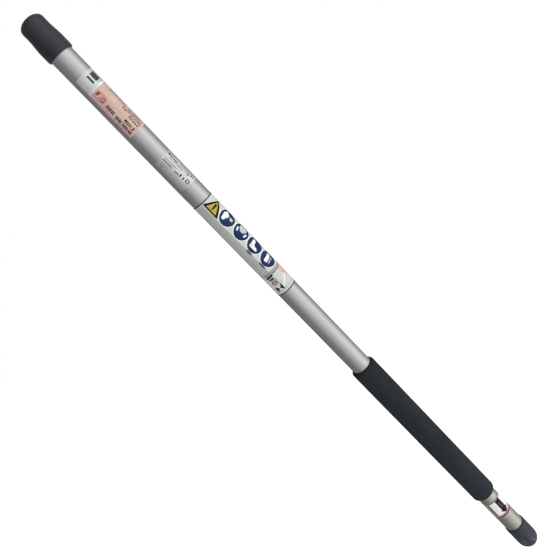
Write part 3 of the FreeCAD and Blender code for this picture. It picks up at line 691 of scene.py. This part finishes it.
P.append((poly([(a + 20, z - 1.6), (a + 19, z - 3.4), (a - 20, z - 4.4), (a - 21, z - 2.8)], 0.6), "faint"))
# yellow triangle with a heavy dark border and one plain bar
P.append((poly([(-13.4, 662.3), (-13.4, 637.6), (75.0, 650.0)], 1.0), "bright"))
P.append((poly([(-12.2, 661.6), (-12.2, 638.4), (72.5, 650.0)], 0.9), "black"))
P.append((poly([(-4.0, 657.2), (-4.0, 642.8), (55.0, 650.0)], 0.3), "yellow"))
P.append((poly([(39.0, 651.5), (39.0, 648.7), (3.0, 649.2), (3.0, 651.0)], 0.5), "black"))
# crosswise band and the small panel beyond it
P.append((rect(-48, 92, 527.2, 551.2), "panel"))
P.append((rect(-4, 92, 527.2, 537.4), "white"))
P.append((rect(-48, 92, 551.2, 555.2), "mauve"))
P.append((rect(-48, 60, 550.6, 551.4), "line"))
P.append((rect(-48, -8, 553.3, 553.8), "line"))
P.append((poly([(92, 550.2), (92, 537.0), (60, 537.2), (37, 544.6), (37, 550.2)], 0.4), "rose"))
P.append((poly([(51, 541.8), (51, 540.2), (-4, 530.4), (-4, 532.0)], 0.2), "bright"))
P.append((poly([(48, 540.0), (48, 539.5), (-3, 529.8), (-3, 530.3)]), "faint"))
P.append((rect(-11.4, -8.2, 534.4, 546.4, 0.2), "fine"))
P.append((poly([(-7, 550.6), (-7, 548.6), (-48, 547.6), (-48, 550.2)], 0.3), "black"))
P.append((poly([(-14, 547.6), (-14, 544.6), (-44, 545.2), (-44, 546.6)], 0.3), "black"))
P.append((disc(-27.3, 540.8, 3.4, 36), "red"))
P.append((disc(-27.3, 540.8, 2.2, 28), "rose"))
P.append((rect(-40, -15, 540.2, 541.4, 0.3), "red"))
P.append((poly([(-5, 536.4), (-5, 527.6), (-23, 532.0)], 0.3), "black"))
P.append((poly([(-27, 532.0), (-48, 536.0), (-48, 527.6)], 0.3), "black"))
# the ring lines at the two ends
P.append((rect(-180, 180, z1 - 1.25, z1), "line"))
P.append((rect(-180, 180, z1 - 2.0, z1 - 1.25), "band"))
P.append((rect(-180, 180, z0, z0 + 1.3), "line"))
P.append((rect(-180, 180, z0 + 1.3, z0 + 2.8), "band"))
P.append((rect(-180, 180, z0 + 4.2, z0 + 4.6), "fine"))
# plain bars on the far side where the small print is
for block, (top_z, count) in enumerate(((656, 4), (632, 5), (606, 5), (580, 4))):
    for k in range(count):
        for side, aa in enumerate((112, 128, 144, 160)):
            P += text_row(aa - 0.0, top_z - 5 * k, top_z - 5 * k - 3.4, 1.8, 2, "fine", seed=block * 17 + k * 5 + side)
for k in range(7):
    P += text_row(-134 - k * 5.5, 652, 600 - (k * 13) % 20, 2.0, 16, "fine", seed=31 + k)
    P += text_row(-134 - k * 5.5, 590, 540 + (k * 9) % 14, 2.0, 15, "fine", seed=71 + k)
label("pictogram_wrap_label", "pictogram_label", "white", P, (-177, 177, z0, z1))

# --- the salmon stock label with its clear tab
z0, z1 = node_span("stock_label")
P = []
P.append((rect(-40, 78, z0, 817.6), "salmon"))
P.append((rect(-40, 78, 817.6, 819.0), "band"))
P.append((rect(26, 58, 818.2, 819.4, 0.4), "bright"))
P.append((poly([(64.5, 832.4), (64.5, 823.0), (32, 823.0), (32, 832.4)], 0.4), "slate"))
P.append((rect(12.0, 22.4, 823.0, 832.3, 0.3), "slate"))
P.append((rect(66, 76, 826, 831, 0.3), "faint"))
P.append((poly([(14, 816.6), (16, 806), (8, 801.8), (-18, 802.6), (-26, 808), (-24, 816.4)], 1.6), "salmon_deep"))
P.append((poly([(8, 815.0), (8, 811.4), (-12, 812.4), (-12, 815.4)], 1.2), "red"))
P.append((poly([(9, 810.0), (8, 809.2), (-19, 812.0), (-19, 813.2)], 0.2), "salmon"))
P.append((poly([(2, 808.0), (2, 803.8), (-20, 803.4), (-20, 806.8)], 1.2), "red"))
P.append((poly([(-3, 807.0), (-3, 805.0), (-14, 804.8), (-14, 806.2)], 0.6), "salmon"))
P.append((poly([(64, 782.8), (64, 778.2), (38, 778.2), (38, 782.8)], 0.6), "purple"))
P += text_row(62, 808.8, 786.0, 8.5, 9, "salmon_dark", -4, 3)
P += text_row(62, 776.8, 762.6, 8.5, 7, "salmon_dark", -2, 5)
P += text_row(50, 792.0, 783.4, 3.5, 4, "fine", -2, 6)
P += text_row(40, 788.0, 782.4, 9.0, 2, "salmon_dark", -2, 7)
P += text_row(48, 777.0, 763.2, 6.5, 7, "black", -3, 9)
P += text_row(38, 777.2, 763.0, 5.5, 6, "salmon_dark", -2, 10)
P += text_row(26, 777.6, 763.2, 7.0, 5, "salmon_dark", -2, 11)
P += text_row(15, 775.6, 765.2, 3.4, 5, "rose", -2, 12)
P += text_row(3, 777.6, 767.6, 12.0, 5, "black", -2, 13)
P += text_row(0, 766.4, 763.8, 15.0, 1, "deep_red", 0, 14)
P += text_row(-13.4, 799.4, 788.8, 18.0, 6, "black", -2, 15)
P += text_row(-15.2, 787.8, 786.4, 3.0, 1, "black", 0, 21)
P += text_row(-17.6, 785.6, 777.8, 16.0, 4, "salmon_dark", -2, 16)
P += text_row(-20.0, 776.4, 763.4, 16.5, 6, "salmon_dark", -3, 19)
P += text_row(-4.6, 775.6, 764.4, 3.0, 6, "salmon_dark", -2, 20)
for z, a in ((795.5, -31.5), (785.4, -34.5), (779.0, -36.5), (773.4, -37.0)):
    P.append((disc(a, z, 0.9, 16), "magenta"))
P.append((rect(-38, 76, z0, z0 + 1.1), "rose"))
label("stock_film_label", "stock_label", "clear", P, (-40, 78, z0, z1))

# --- the pale data plate label
z0, z1 = node_span("data_plate_label")
lo_a, hi_a = -40.0, 66.0
P = []
for r in (rect(6, hi_a, z1 - 0.5, z1), rect(6, hi_a, z0, z0 + 0.5)):
    P.append((r, "white"))
for a0, a1, za, zb in ((36, 56, 707, 724.2), (24, 44, 704, 716), (0, 24, 704.5, 724.6), (14, 40, 686.4, 697.6), (-4, 30, 685.8, 701.6), (44, 58, 685.6, 693.0)):
    P.append((rect(a0, a1, za, zb, 2.5), "clear"))
P.append((poly([(44, 693.5), (44, 685.8), (-4, 685.8), (-4, 700.6), (20, 700.6), (28, 693.5)], 2.0), "white"))
P.append((rect(24, 34, 698, 709, 1.5), "clear"))
P.append((rect(28, 40, 722.4, 724.4, 0.8), "white"))
P += text_row(47.5, 724.0, 709.6, 9.5, 7, "line", -6, 23)
P += text_row(47.5, 722.8, 720.8, 11.0, 1, "black", 0, 24)
P += text_row(33.0, 720.4, 700.4, 3.2, 14, "fine", -3, 25)
P += text_row(39.5, 713.0, 702.0, 3.2, 7, "fine", -3, 26)
P += text_row(19.0, 723.8, 706.4, 4.4, 12, "line", -2, 27)
P += text_row(11.5, 723.4, 708.4, 2.6, 9, "fine", -2, 28)
P += text_row(3.6, 723.8, 710.2, 6.6, 8, "black", -1, 29)
P += text_row(3.4, 706.8, 700.6, 6.6, 4, "black", 0, 31)
P += text_row(-5.4, 722.6, 712.0, 2.4, 7, "faint", -1, 32)
P += text_row(-10.8, 722.8, 712.6, 3.8, 8, "fine", -2, 33)
P += text_row(-23.6, 721.9, 716.9, 3.8, 4, "fine", -1, 35)
P += text_row(-32.6, 720.0, 718.2, 3.4, 1, "fine", 0, 37)
P.append((disc(38.6, 694.2, 1.5, 24), "fine"))
P.append((disc(38.6, 694.2, 0.8, 20), "haze"))
P += text_row(47.6, 691.5, 687.2, 11.0, 3, "black", 0, 39)
P.append((rect(0, 17.0, 698.2, 699.8, 0.3), "black"))
P.append((rect(0, 15.0, 694.0, 695.4, 0.3), "line"))
P.append((rect(1, 20.0, 687.0, 691.6, 0.5), "line"))
P.append((rect(5, 16.0, 688.1, 690.5, 0.3), "clear"))
label("data_plate_film_label", "data_plate_label", "haze", P, (lo_a, hi_a, z0, z1))

# --- the depth mark label near the butt end
z0, z1 = node_span("depth_mark_label")
P = []
P.append((rect(-180, 180, z1 - 1.9, z1 - 1.0), "line"))
P.append((rect(34, 100, 86.5, 108.6, 0.8), "bright"))
P.append((rect(-39, 6.5, 86.0, 109.6, 0.8), "bright"))
P.append((rect(-60, -40, 86.0, 108.0), "beige"))
P.append((rect(1.5, 39.0, 91.0, 110.4, 0.3), "black"))
P.append((poly([(-10, 91.6), (50, 91.6), (20, 84.2)], 0.5), "black"))
P.append((rect(15, 21, 94.0, 104.0, 0.6), "deep_red"))
P += text_row(30, 108.6, 93.0, 3.0, 8, "fine", 0, 47)
P += text_row(9, 108.6, 93.0, 3.0, 8, "fine", 0, 48)
for k, aa in enumerate((-9, -16, -23, -30)):
    P += text_row(aa, 108.0, 92.6, 2.2, 9, "faint", 0, 41 + k)
P.append((rect(-49, -41.5, 86.6, 109.6, 0.3), "black"))
P.append((rect(-47, -42, 88.6, 91.0, 0.3), "fine"))
P.append((poly([(50, 88.6), (70, 88.6), (70, 84.4), (24, 84.4)], 0.3), "rose"))
P.append((poly([(-12, 89.4), (-40, 89.4), (-40, 84.4), (16, 84.4)], 0.3), "rose"))
P.append((poly([(-10, 89.4), (-34, 89.4), (-34, 86.6), (-2, 86.6)], 0.3), "bright"))
P.append((rect(-180, 180, z0 + 0.7, z0 + 3.9), "deep_red"))
P.append((rect(-180, 180, z0, z0 + 0.7), "rose"))
P.append((rect(-180, 180, z0 + 3.9, z0 + 4.5), "rose"))
for side in (120, 150, -150, -120, -90):
    for k in range(3):
        P += text_row(side + k * 6.5, 106.5, 90.0, 2.4, 9, "faint", 0, 60 + side + k)
label("depth_mark_wrap_label", "depth_mark_label", "beige", P, (-177, 177, z0, z1))

# ------------------------------------------------------------------ the CAD nodes that stay, with finished materials
for node, material in {
    "mouth_bush": M_NYLON_BLACK,
    "bush_rivets": M_TURNED,
    "butt_plug": M_NYLON_BLACK,
    "butt_plug_pin": M_STEEL,
    "head_ferrule": M_TURNED,
    "ferrule_pins": M_STEEL,
    "rear_glide": M_NYLON_NATURAL,
    "lock_core": M_NYLON_BLACK,
    "lock_core_pin": M_STEEL,
    "lock_stud": M_THREAD,
    "lock_nut": M_STEEL,
    "lock_washer": M_STEEL,
    "cone_nut": M_NYLON_NATURAL,
    "expander_sleeve": M_NYLON_NATURAL,
    "drag_ring": M_ORING,
}.items():
    ob = NODES[node]
    ob.data.materials.clear()
    ob.data.materials.append(material)
    ob.data.shade_smooth()
    ob.data.set_sharp_from_angle(angle=math.radians(28))

# ------------------------------------------------------------------ floor, light, camera
bm = bmesh.new()
size = 9.0
bm.faces.new([bm.verts.new(p) for p in ((-size, -size, -0.6), (size, -size, -0.6), (size, size, -0.6), (-size, size, -0.6))])
me = bpy.data.meshes.new("studio_floor")
bm.to_mesh(me)
bm.free()
floor = bpy.data.objects.new("studio_floor", me)
bpy.context.scene.collection.objects.link(floor)
fm, fnt, fb = new_material("pale_floor", roughness=0.9, color=(0.86, 0.86, 0.86))
fb.inputs["Emission Color"].default_value = (1, 1, 1, 1)
fb.inputs["Emission Strength"].default_value = 0.88
me.materials.append(fm)
floor.visible_glossy = False
floor.visible_shadow = False

world = bpy.data.worlds.new("studio")
bpy.context.scene.world = world
world.use_nodes = True
nt = world.node_tree
nt.nodes.clear()
tc = nt.nodes.new("ShaderNodeTexCoord")
sep = nt.nodes.new("ShaderNodeSeparateXYZ")
nt.links.new(tc.outputs["Generated"], sep.inputs["Vector"])
azimuth = math_node(nt, "ARCTAN2", sep.outputs["X"], math_node(nt, "MULTIPLY", sep.outputs["Y"], -1.0))
share = math_node(nt, "ADD", math_node(nt, "MULTIPLY", azimuth, 1 / (2 * math.pi)), 0.5)


def at(deg):
    return deg / 360.0 + 0.5


# plain soft studio light: dim all round, with one broad soft light from the front right
total = ramp(nt, share, [(at(-180), (0.15,) * 3), (at(-60), (0.2,) * 3), (at(0), (0.55,) * 3), (at(60), (0.95,) * 3), (at(110), (0.35,) * 3), (at(180), (0.15,) * 3)])
bg = nt.nodes.new("ShaderNodeBackground")
nt.links.new(total, bg.inputs["Color"])
bg.inputs["Strength"].default_value = 1.0
white = nt.nodes.new("ShaderNodeBackground")
white.inputs["Color"].default_value = (1, 1, 1, 1)
white.inputs["Strength"].default_value = 1.0
path = nt.nodes.new("ShaderNodeLightPath")
choose = nt.nodes.new("ShaderNodeMixShader")
nt.links.new(path.outputs["Is Camera Ray"], choose.inputs["Fac"])
nt.links.new(bg.outputs["Background"], choose.inputs[1])
nt.links.new(white.outputs["Background"], choose.inputs[2])
out = nt.nodes.new("ShaderNodeOutputWorld")
nt.links.new(choose.outputs["Shader"], out.inputs["Surface"])

key = bpy.data.lights.new("key_softbox", "AREA")
key.shape = "RECTANGLE"
key.size, key.size_y = 1.1, 1.4
key.energy = 20.0
key_ob = bpy.data.objects.new("key_softbox", key)
bpy.context.scene.collection.objects.link(key_ob)
key_ob.visible_glossy = False
key_ob.location = (1.5, -1.3, 2.0)
key_ob.rotation_mode = "QUATERNION"
key_ob.rotation_quaternion = (Vector((0, 0, 0.45)) - Vector(key_ob.location)).to_track_quat("-Z", "Y")

cam = bpy.data.cameras.new("view")
cam.lens = 43.7
cam.sensor_width = 36.0
cam.clip_start, cam.clip_end = 0.01, 60.0
cam_ob = bpy.data.objects.new("view", cam)
bpy.context.scene.collection.objects.link(cam_ob)
cam_ob.location = (0.0008, -0.740, 0.7715)
depress, roll = math.radians(18.1), math.radians(44.03)
forward = Vector((0, math.cos(depress), -math.sin(depress)))
r0 = Vector((1, 0, 0))
u0 = r0.cross(forward)
right = r0 * math.cos(roll) - u0 * math.sin(roll)
up = r0 * math.sin(roll) + u0 * math.cos(roll)
from mathutils import Matrix
basis = Matrix((right, up, -forward)).transposed()
cam_ob.rotation_mode = "QUATERNION"
cam_ob.rotation_quaternion = basis.to_quaternion()
bpy.context.scene.camera = cam_ob

bpy.context.scene.view_settings.view_transform = "Standard"
bpy.context.scene.view_settings.look = "None"
